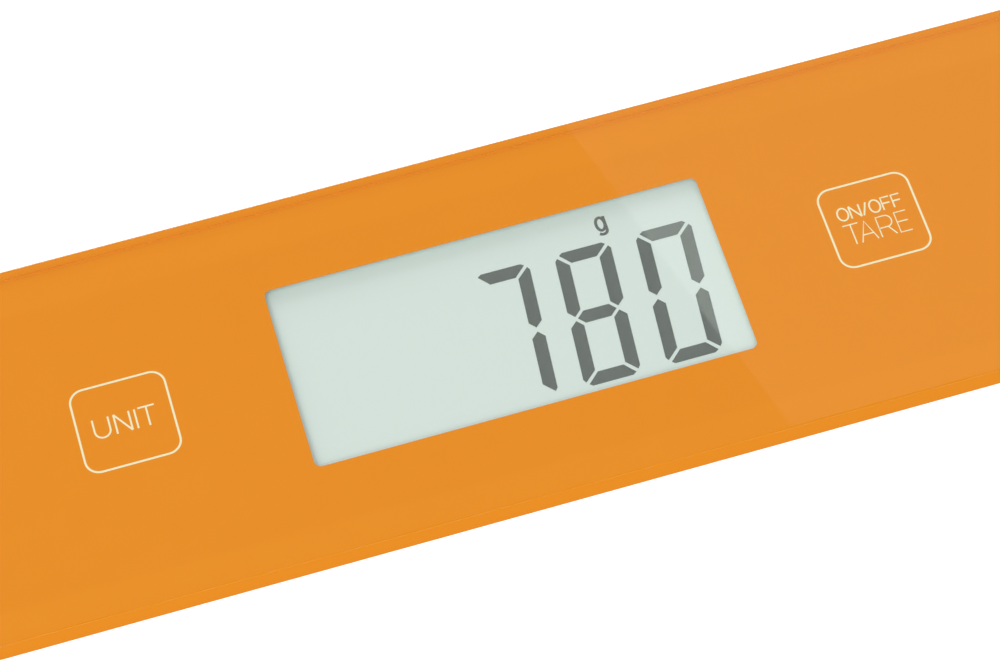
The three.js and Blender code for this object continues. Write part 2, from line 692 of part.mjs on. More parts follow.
const beam = loadBeam();
const cup = footCup();
const gauge = plate(roundedRect(gaugeLength, gaugeWidth, 1), beamTop + seat, beamTop + seat + gaugeHeight);
mirrored(footX, footY).forEach(([x, y], i) => {
  const turn = x > 0 ? 0 : sweep / 2;
  const gaugeX = Math.sign(x) * (beamRoot + neckStart + neckLength / 2);
  addPiece(`load_beam_${cornerNames[i]}`, beam, beamSteel, 0, y, turn);
  addPiece(`gauge_pad_${cornerNames[i]}`, gauge, potting, gaugeX, y);
  addPiece(`gauge_wire_${cornerNames[i]}`, gaugeWire(Math.sign(x), Math.sign(y)), wirePlastic);
  addPiece(`foot_cup_${cornerNames[i]}`, cup, cupPlastic, x, y);
  addPiece(`foot_pad_${cornerNames[i]}`, footPad(), rubber, x, y);
});

// Pan-head screws, driven from below.
function screw(headRadius, headHeight, shankRadius, headUnder, shankTop) {
  const headTop = headUnder + headHeight;
  const rounding = headHeight / 3;
  return turned([
    [0, headUnder],
    [headRadius - rounding, headUnder],
    [headRadius, headUnder + rounding],
    [headRadius, headTop],
    [shankRadius, headTop],
    [shankRadius, shankTop - shankRadius],
    [shankRadius / 2, shankTop],
    [0, shankTop],
  ], screwSteps);
}

const coverHead = coverUnder + 2 * seat;
const coverScrew = screw(coverScrewHead, coverScrewHeadHeight, coverScrewRadius, coverHead,
  coverHead + coverScrewHeadHeight + coverScrewLength);
coverScrewPlaces.forEach(([x, y], i) => {
  const place = [...cornerNames, 'right_end', 'left_end'][i];
  addPiece(`cover_screw_${place}`, coverScrew, zincSteel, x, y);
});

const boardScrew = screw(boardScrewHead, boardScrewHeadHeight, boardScrewRadius,
  boardUnder - seat - boardScrewHeadHeight, bossEnd - seat);
mirrored(boardScrewX, boardScrewY).forEach(([x, y], i) =>
  addPiece(`board_screw_${cornerNames[i]}`, boardScrew, zincSteel, x, y + displayOffset));

const beamScrew = screw(beamScrewHead, beamScrewHeadHeight, beamScrewRadius,
  beamUnder - seat - beamScrewHeadHeight, bossEnd - seat);
beamScrewPlaces.forEach(([x, y], i) =>
  addPiece(`beam_screw_${cornerNames[i % 4]}_${i < 4 ? 'inner' : 'outer'}`, beamScrew, zincSteel, x, y));

export default group;
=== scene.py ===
import math

import bmesh
import bpy
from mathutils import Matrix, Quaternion, Vector


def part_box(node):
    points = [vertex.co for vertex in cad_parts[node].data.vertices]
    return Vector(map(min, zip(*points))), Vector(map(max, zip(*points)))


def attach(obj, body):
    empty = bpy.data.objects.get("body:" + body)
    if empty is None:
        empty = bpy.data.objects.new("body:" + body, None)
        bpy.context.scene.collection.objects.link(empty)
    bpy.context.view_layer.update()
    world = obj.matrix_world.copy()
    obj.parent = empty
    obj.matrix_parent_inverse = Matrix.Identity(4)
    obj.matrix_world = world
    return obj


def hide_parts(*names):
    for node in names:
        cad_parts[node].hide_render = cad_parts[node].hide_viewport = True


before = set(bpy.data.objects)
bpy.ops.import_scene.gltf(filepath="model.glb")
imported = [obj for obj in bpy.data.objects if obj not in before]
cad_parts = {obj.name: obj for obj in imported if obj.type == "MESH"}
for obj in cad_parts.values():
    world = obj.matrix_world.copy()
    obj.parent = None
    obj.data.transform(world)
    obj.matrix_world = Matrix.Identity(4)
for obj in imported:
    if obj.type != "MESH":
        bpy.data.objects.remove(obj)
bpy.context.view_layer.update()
scene = bpy.context.scene
scene.view_settings.view_transform = "Standard"
MM = 0.001

# ---- Camera ----
# A long lens stands some 40 cm from the middle of the scale. It looks down on it from the front left, and
# is rolled a little.
camera_target = Vector((-2.07, -2.13, 18)) * MM
camera_azimuth = math.radians(-14.17)
camera_elevation = math.radians(61.57)
camera_distance = 406.4 * MM
camera_roll = math.radians(-2.6)
back = Vector((
    math.sin(camera_azimuth) * math.cos(camera_elevation),
    -math.cos(camera_azimuth) * math.cos(camera_elevation),
    math.sin(camera_elevation),
))
camera = bpy.data.objects.new("camera", bpy.data.cameras.new("camera"))
camera.data.lens = 117.8
camera.data.sensor_width = 36
camera.rotation_mode = "QUATERNION"
camera.rotation_quaternion = (-back).to_track_quat("-Z", "Y") @ Quaternion((0, 0, 1), camera_roll)
camera.location = camera_target + back * camera_distance
scene.collection.objects.link(camera)
scene.camera = camera


# ---- Studio ----
# A white paper floor in a white room, under two soft lamps. A grey card and a paler one hang behind and
# above the scale, edge to edge, so that the glass mirrors both and the straight edge between them.
class Wire:
    """An output socket. Sums, products and comparisons of wires add Math nodes."""

    def __init__(self, tree, socket):
        self.tree, self.socket = tree, socket

    def math(self, operation, *values):
        return self.tree.node("ShaderNodeMath", {"operation": operation}, dict(enumerate(values)))

    def __add__(self, other):
        return self.math("ADD", self, other)

    def __radd__(self, other):
        return self.math("ADD", other, self)

    def __sub__(self, other):
        return self.math("SUBTRACT", self, other)

    def __rsub__(self, other):
        return self.math("SUBTRACT", other, self)

    def __mul__(self, other):
        return self.math("MULTIPLY", self, other)

    def __rmul__(self, other):
        return self.math("MULTIPLY", other, self)

    def __gt__(self, other):
        return self.math("GREATER_THAN", self, other)

    def __lt__(self, other):
        return self.math("LESS_THAN", self, other)


class Tree:
    """A node tree being wired: node() adds any node, with its settings first and then its sockets."""

    def __init__(self, tree):
        self.tree = tree
        tree.nodes.clear()

    def node(self, kind, settings=None, sockets=None, out=0):
        made = self.tree.nodes.new(kind)
        for name, value in (settings or {}).items():
            setattr(made, name, value)
        for key, value in (sockets or {}).items():
            for one in value if isinstance(value, list) else [value]:
                if isinstance(one, Wire):
                    self.tree.links.new(one.socket, made.inputs[key])
                else:
                    made.inputs[key].default_value = one
        return Wire(self, made.outputs[out]) if len(made.outputs) else made

    def most(self, *wires):
        """The largest of some wires."""
        largest = wires[0]
        for wire in wires[1:]:
            largest = largest.math("MAXIMUM", largest, wire)
        return largest

    def on_paths(self, *paths):
        """1 on rays of the kinds named, and 0 on others."""
        return self.most(*[self.node("ShaderNodeLightPath", out=path) for path in paths])

    def seen(self):
        """1 for what is seen straight, in a reflection or through glass, and 0 for light on a piece."""
        return self.on_paths("Is Camera Ray", "Is Glossy Ray", "Is Transmission Ray")

    def output(self, kind, surface):
        self.node(kind, sockets={"Surface": surface})


room_light = 0.36  # the room's light on a piece, against 1 as it is seen
world = bpy.data.worlds.new("white_room")
world.use_nodes = True
scene.world = world
room = Tree(world.node_tree)
room_strength = room.seen() * (1 - room_light) + room_light
room.output("ShaderNodeOutputWorld", room.node(
    "ShaderNodeBackground", sockets={"Color": (1, 1, 1, 1), "Strength": room_strength}))


def mixed(tree, factor, first, second):
    """A colour between two others, each of them a wire or three numbers."""
    first, second = [colour if isinstance(colour, Wire) else (*colour, 1) for colour in (first, second)]
    return tree.node("ShaderNodeMix", {"data_type": "RGBA"}, {0: factor, 6: first, 7: second}, out=2)


def flat_sheet(name, corners, material):
    """A stage sheet over the corners given, in metres."""
    mesh = bpy.data.meshes.new(name)
    mesh.from_pydata(corners, [], [tuple(range(len(corners)))])
    mesh.materials.append(material)
    sheet = bpy.data.objects.new(name, mesh)
    scene.collection.objects.link(sheet)
    return sheet


def new_material(name):
    material = bpy.data.materials.new(name)
    material.use_nodes = True
    return material, Tree(material.node_tree)


sweep_white, sweep = new_material("sweep_white")
paper_grain = sweep.node("ShaderNodeTexNoise", sockets={"Scale": 40.0, "Detail": 2.0})
paper = mixed(sweep, paper_grain, (0.78, 0.78, 0.78), (0.8, 0.8, 0.8))
paper_glow = 0.72
sweep_lit = sweep.node("ShaderNodeBsdfDiffuse", sockets={"Color": paper})
sweep_glow = sweep.node("ShaderNodeEmission", sockets={
    "Color": (1, 1, 1, 1), "Strength": sweep.seen() * paper_glow})
sweep.output("ShaderNodeOutputMaterial", sweep.node(
    "ShaderNodeAddShader", sockets={0: sweep_lit, 1: sweep_glow}))
half_floor = 4  # metres
flat_sheet("floor", [(half_floor * x, half_floor * y, 0) for x, y in ((-1, -1), (1, -1), (1, 1), (-1, 1))],
           sweep_white)


def glowing_card(name, corners, glow):
    """A card that mirrors in the glass as an even tone. The camera doesn't see it straight."""
    material, tree = new_material(name)
    tree.output("ShaderNodeOutputMaterial", tree.node(
        "ShaderNodeEmission", sockets={"Color": (*glow, 1), "Strength": 1.0}))
    card = flat_sheet(name, corners, material)
    card.visible_camera = False
    return card


# The grey card's right edge runs through these two points; a paler card goes on from there.
card_near, card_far = Vector((443, 699, 1800)) * MM, Vector((273, 1141, 1660)) * MM
card_left, card_right = Vector((-1345, -320, 0)) * MM, Vector((960, 256, 0)) * MM
grey_corners = [card_near, card_near + card_left, card_far + card_left, card_far]
pale_corners = [card_near, card_far, card_far + card_right, card_near + card_right]
glowing_card("card_grey", grey_corners, (0.5, 0.5, 0.5))
glowing_card("card_pale", pale_corners, (0.8, 0.8, 0.8))

# Two low strips and a tall dark flag in front are there for reflections alone. From the camera they tint
# the polished edges of the glass. Each has half its length, the places along Y and up of its two long
# edges, all in millimetres, and its colour.
for name, half_length, (near, near_z), (far, far_z), glow in (
        ("strip_front", 300, (-46, 1), (-27, 1), (0.85, 0.33, 0.13)),
        ("strip_back", 300, (29, 1), (160, 1), (0.2, 0.09, 0.03)),
        ("flag_front", 1500, (-900, 30), (-300, 1600), (0.3, 0.14, 0.05))):
    strip = glowing_card(name, [Vector(corner) * MM for corner in (
        (-half_length, near, near_z), (half_length, near, near_z),
        (half_length, far, far_z), (-half_length, far, far_z))], glow)
    strip.visible_diffuse = strip.visible_transmission = strip.visible_shadow = False


def softbox(name, place, size, strength):
    """A square area lamp aimed at the scale. Its strength is the radiance of its face, the rest is metres."""
    lamp = bpy.data.lights.new(name, "AREA")
    lamp.size = size
    lamp.energy = strength * math.pi * size * size
    lamp_object = bpy.data.objects.new(name, lamp)
    lamp_object.location = place
    lamp_object.rotation_mode = "QUATERNION"
    lamp_object.rotation_quaternion = (-Vector(place)).to_track_quat("-Z", "Y")
    lamp_object.visible_camera = False
    scene.collection.objects.link(lamp_object)
    return lamp_object


softbox("softbox_back", (-0.45, 2.0, 1.0), 1.5, 2.3)
softbox("softbox_front", (-0.4, -0.78, 1.42), 1.2, 3.55).visible_glossy = False


# ---- Glass platform ----
# One bar of clear toughened float glass with rounded corners. Both edges are ground to a small arris and
# polished, and the colour and the marks are printed on its underside.
def new_group(name, inputs):
    """A geometry tree with inputs of the kinds given, and one for the material."""
    group = bpy.data.node_groups.new(name, "GeometryNodeTree")
    group.interface.new_socket("Geometry", in_out="OUTPUT", socket_type="NodeSocketGeometry")
    for kind, names in (inputs | {"Material": ["Material"]}).items():
        for socket in names:
            group.interface.new_socket(socket, in_out="INPUT", socket_type="NodeSocket" + kind)
    tree = Tree(group)
    return group, tree, lambda socket: tree.node("NodeGroupInput", out=socket)


def ended(tree, geometry, material):
    """Ends a geometry tree: what it makes is made real and takes its material."""
    real = tree.node("GeometryNodeRealizeInstances", sockets={"Geometry": geometry})
    done = tree.node("GeometryNodeSetMaterial", sockets={"Geometry": real, "Material": material})
    tree.node("NodeGroupOutput", sockets={0: done})


def bar_tree():
    """A rounded bar between two heights, which may have one rounded opening through it."""
    group, tree, given = new_group("bar", {
        "Float": ["Length", "Width", "Radius", "Bottom", "Top", "Opening length", "Opening width",
                  "Opening radius", "Opening shift"],
        "Int": ["Steps"]})

    def shifted(shape, **sides):
        place = tree.node("ShaderNodeCombineXYZ", sockets=sides)
        return tree.node("GeometryNodeTransform", sockets={"Geometry": shape, "Translation": place})

    def outline(length, width, radius, shift):
        corners = tree.node("GeometryNodeCurvePrimitiveQuadrilateral", sockets={
            "Width": length, "Height": width})
        rounded = tree.node("GeometryNodeFilletCurve", {"mode": "POLY"}, {
            "Curve": corners, "Count": given("Steps"), "Radius": radius, "Limit Radius": True})
        return shifted(rounded, Y=shift)

    outside = outline(given("Length"), given("Width"), given("Radius"), 0.0)
    opening = outline(*[given("Opening " + side) for side in ("length", "width", "radius", "shift")])
    both = tree.node("GeometryNodeJoinGeometry", sockets={0: [outside, opening]})
    lines = tree.node("GeometryNodeSwitch", {"input_type": "GEOMETRY"}, {
        "Switch": given("Opening length") > 0.0, "False": outside, "True": both})
    under = tree.node("GeometryNodeFillCurve", {"mode": "TRIANGLES"}, {"Curve": lines})
    raised = tree.node("GeometryNodeExtrudeMesh", {"mode": "FACES"}, {
        "Mesh": under, "Offset Scale": given("Top") - given("Bottom"), "Individual": False})
    flipped = tree.node("GeometryNodeFlipFaces", sockets={"Mesh": under})
    closed = tree.node("GeometryNodeJoinGeometry", sockets={0: [raised, flipped]})
    merged = tree.node("GeometryNodeMergeByDistance", sockets={"Geometry": closed, "Distance": 1e-7})
    ended(tree, shifted(merged, Z=given("Bottom")), given("Material"))
    return group


def grown(name, tree, material, start=None, **sizes):
    """Runs a geometry tree with the sizes given, and keeps what it makes as a plain mesh."""
    piece = bpy.data.objects.new(name, start or bpy.data.meshes.new(name))
    scene.collection.objects.link(piece)
    modifier = piece.modifiers.new("grow", "NODES")
    modifier.node_group = tree
    values = {key.replace("_", " ").capitalize(): value for key, value in sizes.items()}
    values["Material"] = material
    for item in tree.interface.items_tree:
        if item.in_out == "INPUT" and item.name in values:
            modifier[item.identifier] = values[item.name]
    bpy.context.view_layer.update()
    evaluated = piece.evaluated_get(bpy.context.evaluated_depsgraph_get())
    piece.data = bpy.data.meshes.new_from_object(evaluated)
    piece.modifiers.clear()
    piece.data.name = name
    return piece


def eased(piece, width, segments=3):
    """Rounds the sharp edges of a piece by a Bevel, and shades it smooth between flat faces."""
    sharp = math.radians(30)
    whole = bmesh.new()
    whole.from_mesh(piece.data)
    bmesh.ops.remove_doubles(whole, verts=whole.verts, dist=1e-6)
    bmesh.ops.dissolve_limit(whole, angle_limit=math.radians(0.2), verts=whole.verts, edges=whole.edges)
    for face in whole.faces:
        face.smooth = True
    for edge in whole.edges:
        edge.smooth = edge.calc_face_angle(0) < sharp
    whole.to_mesh(piece.data)
    whole.free()
    if width == 0:
        return piece
    bevel = piece.modifiers.new("edge", "BEVEL")
    bevel.width = width
    bevel.segments = segments
    bevel.angle_limit = sharp
    bevel.harden_normals = True
    bevel.miter_outer = "MITER_ARC"
    return piece


def placed(piece, body, slot, *nodes):
    """Fixes a finished piece to its body and lets it stand for its CAD nodes. The slot is not used."""
    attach(piece, body)
    if nodes:
        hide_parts(*nodes)


def principled(tree, **sockets):
    """Ends a material in one Principled shader, with _ for the spaces in its sockets' names."""
    names = {key.replace("_", " "): value for key, value in sockets.items()}
    tree.output("ShaderNodeOutputMaterial", tree.node("ShaderNodeBsdfPrincipled", sockets=names))


def on_piece(tree):
    """Places on the piece itself, in metres."""
    return tree.node("ShaderNodeTexCoord", out="Object")


def speckle(tree, kind, scale, **sockets):
    """A noise or Voronoi pattern that is fixed to the piece. The scale is in grains a metre."""
    return tree.node("ShaderNodeTex" + kind, sockets={"Vector": on_piece(tree), "Scale": scale, **sockets})


glass_low, glass_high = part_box("glass_platform")
glass_length, glass_width = glass_high.x - glass_low.x, glass_high.y - glass_low.y
glass_corner = 7 * MM
arris = 0.25 * MM

clear_glass, glass_tree = new_material("clear_glass")
wiped = speckle(glass_tree, "Noise", 35.0, Detail=3.0)
float_glass = glass_tree.node("ShaderNodeBsdfPrincipled", sockets={
    "Base Color": (0.985, 1, 0.99, 1), "Transmission Weight": 1.0, "IOR": 1.5, "Roughness": wiped * 0.008})
lit_through = glass_tree.node("ShaderNodeBsdfTransparent", sockets={"Color": (0.99, 1, 0.995, 1)})
glass_tree.output("ShaderNodeOutputMaterial", glass_tree.node("ShaderNodeMixShader", sockets={
    0: glass_tree.on_paths("Is Shadow Ray", "Is Diffuse Ray"), 1: float_glass, 2: lit_through}))

bar = bar_tree()
platform = grown("platform_glass", bar, clear_glass, length=glass_length, width=glass_width,
                 radius=glass_corner, bottom=glass_low.z, top=glass_high.z, steps=12)
placed(eased(platform, arris, segments=4), "root", "orange_glass", "glass_platform")

# ---- Print on the glass ----
# Two screen-printed enamels, fired into the underside of the glass: first the cream lines and words, then
# the orange over everything but the display's window, up on the arris to the very edge.
print_margin = arris
enamel = 0.01 * MM
enamel_depth = 0.01 * MM
window_length, window_width = 57.15 * MM, 25.8 * MM
window_corner = 0.9 * MM
window_shift = 0.9 * MM

orange_enamel, orange_tree = new_material("orange_enamel")
mottle = speckle(orange_tree, "Noise", 260.0, Detail=4.0)
across = orange_tree.node("ShaderNodeSeparateXYZ", sockets={0: on_piece(orange_tree)}, out=1)
from_middle = across.math("ABSOLUTE", across)
tape_inside, tape_outside = 19.8 * MM, 23.4 * MM  # of the tape's long strips, from the bar's middle
# Painted light: the orange is made a little lighter in two bands along the long edges, over the tape's strips
# behind the print.
painted_light_over_tape = (from_middle > tape_inside) * (from_middle < tape_outside)
orange = mixed(orange_tree, mottle * 0.6 + painted_light_over_tape * 0.4, (0.885, 0.278, 0.004), (0.915, 0.298, 0.006))
principled(orange_tree, Base_Color=orange, Roughness=0.6, Specular_IOR_Level=0.0)

print_under = glass_low.z + enamel_depth
print_top = print_under + enamel
orange_print = grown(
    "orange_print", bar, orange_enamel, length=glass_length - 2 * print_margin,
    width=glass_width - 2 * print_margin, radius=glass_corner - print_margin, bottom=print_under,
    top=print_top, steps=12, opening_length=window_length, opening_width=window_width,
    opening_radius=window_corner, opening_shift=window_shift)
backing_white, backing_tree = new_material("backing_white")
backing_mottle = speckle(backing_tree, "Noise", 500.0)
principled(backing_tree, Base_Color=mixed(backing_tree, backing_mottle, (0.9, 0.91, 0.9), (0.94, 0.95, 0.94)),
           Roughness=0.7)
orange_print.data.materials.clear()
for material in (orange_enamel, backing_white):
    orange_print.data.materials.append(material)
for face in orange_print.data.polygons:
    face.material_index = int(face.normal.z < -0.5)
placed(orange_print, "root", "orange_glass")


def arc(centre_x, centre_y, radius, start, end, steps=12, squash=1.0):
    """Points on an arc, with its angles in degrees."""
    angles = [math.radians(start + (end - start) * i / steps) for i in range(steps + 1)]
    return [(centre_x + radius * math.cos(a), centre_y + radius * squash * math.sin(a)) for a in angles]


def square(centre_x, centre_y, length, width, radius):
    """A closed stroke round a square with rounded corners."""
    points = []
    for i, (sign_x, sign_y) in enumerate([(1, 1), (-1, 1), (-1, -1), (1, -1)]):
        points += arc(centre_x + sign_x * (length / 2 - radius), centre_y + sign_y * (width / 2 - radius),
                      radius, 90 * i, 90 * i + 90, 8)
    return points + points[:1]


def piece_of(name, whole, material):
    """Ends a bmesh as a piece of one material."""
    mesh = bpy.data.meshes.new(name)
    whole.to_mesh(mesh)
    whole.free()
    mesh.materials.append(material)
    piece = bpy.data.objects.new(name, mesh)
    scene.collection.objects.link(piece)
    return piece


def sleeve(name, rings, material):
    """A closed band round the glass. Each ring of it is an inset from the glass's edge and a height."""
    band = bmesh.new()
    loops = []
    for inset, height in rings:
        outline = square(0, 0, glass_length - 2 * inset, glass_width - 2 * inset, glass_corner - inset)[:-1]
        loops.append([band.verts.new((x, y, height)) for x, y in outline])
    for here, there in zip(loops, loops[1:] + loops[:1]):
        for i in range(len(here)):
            band.faces.new([here[i - 1], here[i], there[i], there[i - 1]])
    bmesh.ops.recalc_face_normals(band, faces=band.faces)
    return piece_of(name, band, material)


rim_turns = [math.radians(15 * i) for i in range(7)]
rim_rings = []
for radius, turns in ((arris - enamel_depth, rim_turns), (arris - enamel_depth - enamel, rim_turns[::-1])):
    rim_rings += [(arris - radius * math.sin(a), glass_low.z + arris - radius * math.cos(a)) for a in turns]
orange_rim = sleeve("orange_rim", rim_rings, orange_enamel)
placed(orange_rim, "root", "orange_glass")


def line_tree():
    """Printed lines along the edges of a flat mesh, all of one width and thickness."""
    group, tree, given = new_group("printed_line", {"Geometry": ["Geometry"], "Float": ["Line", "Thickness"]})
    path = tree.node("GeometryNodeMeshToCurve", sockets={"Mesh": given("Geometry")})
    level = tree.node("GeometryNodeSetCurveNormal", {"mode": "Z_UP"}, {"Curve": path})
    section = tree.node("GeometryNodeCurvePrimitiveQuadrilateral", sockets={
        "Width": given("Line"), "Height": given("Thickness")})
    swept = tree.node("GeometryNodeCurveToMesh", sockets={
        "Curve": level, "Profile Curve": section, "Fill Caps": True})
    ended(tree, swept, given("Material"))
    return group


stroke_lift = 0.002 * MM


def strokes_mesh(name, strokes, height):
    """Open and closed strokes as mesh edges, each a hair above the last so that they never share a face."""
    points, edges = [], []
    for lift, stroke in enumerate(strokes):
        closed = (Vector(stroke[0]) - Vector(stroke[-1])).length < 1e-9
        kept = stroke[:-1] if closed else stroke
        first = len(points)
        points += [(x, y, height + lift * stroke_lift) for x, y in kept]
        edges += [(first + i, first + i + 1) for i in range(len(kept) - 1)]
        if closed:
            edges.append((len(points) - 1, first))
    mesh = bpy.data.meshes.new(name)
    mesh.from_pydata(points, edges, [])
    return mesh


# A plain single-stroke alphabet: a letter is its width and its strokes, in heights of a capital.
letters = {
    "U": (0.73, [[(0, 1), (0, 0.365), *arc(0.365, 0.365, 0.365, 180, 360), (0.73, 1)]]),
    "N": (0.7, [[(0, 0), (0, 1)], [(0, 1), (0.7, 0)], [(0.7, 0), (0.7, 1)]]),
    "I": (0.0, [[(0, 0), (0, 1)]]),
    "T": (0.77, [[(0, 1), (0.77, 1)], [(0.385, 0), (0.385, 1)]]),
    "O": (0.76, [arc(0.38, 0.5, 0.38, 0, 360, 28, 1.315)]),
    "/": (0.38, [[(0, 0), (0.38, 1)]]),
    "F": (0.6, [[(0, 0), (0, 1), (0.6, 1)], [(0, 0.52), (0.55, 0.52)]]),
    "A": (0.82, [[(0, 0), (0.41, 1), (0.82, 0)], [(0.14, 0.34), (0.68, 0.34)]]),
    "R": (0.76, [[(0, 0), (0, 1), (0.44, 1), *arc(0.44, 0.72, 0.28, 90, -90), (0, 0.44)],
                 [(0.46, 0.44), (0.76, 0)]]),
    "E": (0.58, [[(0.58, 1), (0, 1), (0, 0), (0.58, 0)], [(0, 0.52), (0.54, 0.52)]]),
}
# How far the second letter of a pair moves in towards the first, in heights of a capital.
kerning = {"TA": 0.25, "IT": 0.1}


def word(text, centre_x, base_y, height, width, stretch=1.0):
    """Strokes of a word of that width, centred on a place. The gaps are even but for the kerning."""
    widths = [(letters[letter][0] * stretch - kerning.get(letter + follower, 0)) * height
              for letter, follower in zip(text, text[1:] + " ")]
    gap = (width - sum(widths)) / (len(text) - 1)
    x, strokes = centre_x - width / 2, []
    for letter, advance in zip(text, widths):
        strokes += [[(x + px * stretch * height, base_y + py * height) for px, py in stroke]
                    for stroke in letters[letter][1]]
        x += advance + gap
    return strokes


cream_enamel, cream_tree = new_material("cream_enamel")
cream = mixed(cream_tree, speckle(cream_tree, "Noise", 900.0), (0.97, 0.9, 0.55), (0.98, 0.92, 0.62))
principled(cream_tree, Base_Color=cream, Roughness=0.6, Specular_IOR_Level=0.0)

key_xs = (-49.5 * MM, 48.4 * MM)
key_length, key_width = 12.06 * MM, 11.75 * MM
key_radius = 1.8 * MM
key_y = 1.05 * MM
line = line_tree()
cream_height = print_top + enamel
# The width of each piece's lines, and the lines: a word's middle, foot, height and width.
cream_lines = {
    "key_outlines": (0.27 * MM, [square(x, key_y, key_length, key_width, key_radius) for x in key_xs]),
    "unit_word": (0.24 * MM, word("UNIT", key_xs[0], key_y - 1.36 * MM, 2.72 * MM, 7.9 * MM)),
    "on_off_word": (0.22 * MM, word("ON/OFF", key_xs[1], key_y + 0.95 * MM, 1.83 * MM, 8.5 * MM)),
    "tare_word": (0.17 * MM, word("TARE", key_xs[1], key_y - 2.75 * MM, 2.96 * MM, 8.4 * MM, stretch=0.885)),
}
for name, (line_width, strokes) in cream_lines.items():
    lines = grown(name, line, cream_enamel, strokes_mesh(name, strokes, cream_height), line=line_width,
                  thickness=enamel)
    placed(eased(lines, 0), "root", "orange_glass")


# ---- Display ----
# A reflective segment display: two glass plates with a polariser on the front and a grey-green reflector
# behind. The number and the unit sign are dark segments.
def finish_node(node, material):
    """Gives a CAD node a finish and leaves its shape."""
    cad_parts[node].data.materials.clear()
    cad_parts[node].data.materials.append(material)


lcd_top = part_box("lcd_panel")[1].z
reflector, reflector_tree = new_material("display_reflector")
haze = speckle(reflector_tree, "Noise", 4000.0, Detail=2.0)
principled(reflector_tree, Base_Color=mixed(reflector_tree, haze, (0.75, 0.85, 0.795), (0.79, 0.88, 0.835)),
           Roughness=0.008, IOR=1.75)
finish_node("lcd_panel", reflector)

segment_dark, segment_tree = new_material("segment_dark")
segment_haze = speckle(segment_tree, "Noise", 3000.0)
segment_colour = mixed(segment_tree, segment_haze, (0.23, 0.26, 0.235), (0.25, 0.28, 0.255))
principled(segment_tree, Base_Color=segment_colour, Metallic=0.85, Roughness=0.008)

digit_height, digit_width, digit_pitch = 19.3 * MM, 7.4 * MM, 10.75 * MM
stroke_width = 1.73 * MM
segment_gap = 0.6 * MM
digit_slant = math.tan(math.radians(5.2))
digit_base = Vector((-4.35, -10.55)) * MM
segment_depth = 0.03 * MM
digit_lift, sign_lift = 0.01 * MM, 0.02 * MM  # over the display's face
digits = {"7": "abc", "8": "abcdefg", "0": "abcdef"}


def segment(letter):
    """The outline of one segment, from the digit's lower left corner. They are mitred where they meet."""
    width, height, stroke, gap = digit_width, digit_height, stroke_width, segment_gap / 2
    middle, chamfer, half = height * 0.5, stroke * 0.45, stroke / 2
    along, inward = chamfer * 0.45, chamfer * 0.4
    top = [(gap + chamfer, height), (width - gap - chamfer, height), (width - gap - along, height - inward),
           (width - stroke - gap, height - stroke), (stroke + gap, height - stroke),
           (gap + along, height - inward)]
    right = [(width, height - gap - chamfer), (width, middle + gap + half), (width - half, middle + gap),
             (width - stroke, middle + gap + half), (width - stroke, height - stroke - gap),
             (width - inward, height - gap - along)]
    centre = [(gap + half, middle), (gap + stroke, middle + half), (width - gap - stroke, middle + half),
              (width - gap - half, middle), (width - gap - stroke, middle - half),
              (gap + stroke, middle - half)]
    down = lambda outline: [(x, height - y) for x, y in outline][::-1]
    across = lambda outline: [(width - x, y) for x, y in outline][::-1]
    return {"a": top, "b": right, "c": down(right), "d": down(top), "e": across(down(right)),
            "f": across(right), "g": centre}[letter]


def thin_solids(name, outlines, bottom, depth, material):
    """Closed flat outlines given a little thickness."""
    whole, lift = bmesh.new(), Vector((0, 0, depth))
    for outline in outlines:
        low = [whole.verts.new((x, y, bottom)) for x, y in outline]
        high = [whole.verts.new(corner.co + lift) for corner in low]
        whole.faces.new(low)
        whole.faces.new(high)
        for i in range(len(outline)):
            whole.faces.new((low[i - 1], low[i], high[i], high[i - 1]))
    bmesh.ops.recalc_face_normals(whole, faces=whole.faces)
    return piece_of(name, whole, material)


for place, digit in enumerate("780"):
    outlines = [[(digit_base.x + place * digit_pitch + x + digit_slant * y, digit_base.y + y)
                 for x, y in segment(letter)] for letter in digits[digit]]
    shown = thin_solids(f"digit_{place}", outlines, lcd_top + digit_lift, segment_depth, segment_dark)
    placed(shown, "root", "display_glass")

# The unit sign is an upright g: a bowl, and a stem with a hook.
gram_x, gram_y, gram_height = 14.59 * MM, 10.38 * MM, 2.0 * MM
gram_strokes = [
    arc(0.3, 0.5, 0.28, 0, 360, 24, 1.7),
    [(0.6, 1.02), (0.6, 0.0), *arc(0.3, -0.02, 0.3, 0, -140, 10, 0.85)],
]
gram = strokes_mesh("gram", [[(gram_x + x * gram_height, gram_y + y * gram_height) for x, y in stroke]
                             for stroke in gram_strokes], lcd_top + sign_lift)
gram_sign = grown("gram_sign", line, segment_dark, gram, line=0.39 * MM, thickness=segment_depth)
placed(eased(gram_sign, 0), "root", "display_glass")


# ---- Bonding tape ----
# A ring of white acrylic foam tape, die-cut, which bonds the glass to the deck of the case and leaves the
# display and the touch springs free.
def bump(tree, height, distance):
    """A normal that follows a pattern of heights, whose full depth is given in metres."""
    return tree.node("ShaderNodeBump", sockets={"Height": height, "Distance": distance, "Strength": 1.0})


foam_white, foam = new_material("foam_white")
foam_cells = speckle(foam, "Voronoi", 5200.0)
principled(foam, Base_Color=mixed(foam, foam_cells, (0.74, 0.75, 0.74), (0.88, 0.88, 0.86)), Roughness=0.75,
           Normal=bump(foam, foam_cells, 0.05 * MM))
finish_node("bonding_tape", foam_white)


# ---- Upper case ----
# The injection-moulded tray of white ABS that carries everything: its deck holds the glass, its bosses and
# posts take the screws. Its outside has a fine spark-eroded grain.
def copied(node, name, material):
    """A copy of a CAD node's mesh, to be refined."""
    piece = bpy.data.objects.new(name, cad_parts[node].data.copy())
    piece.data.name = name
    for attribute in list(piece.data.attributes):
        if attribute.name.startswith("custom_normal"):
            piece.data.attributes.remove(attribute)
    piece.data.materials.clear()
    piece.data.materials.append(material)
    scene.collection.objects.link(piece)
    return piece


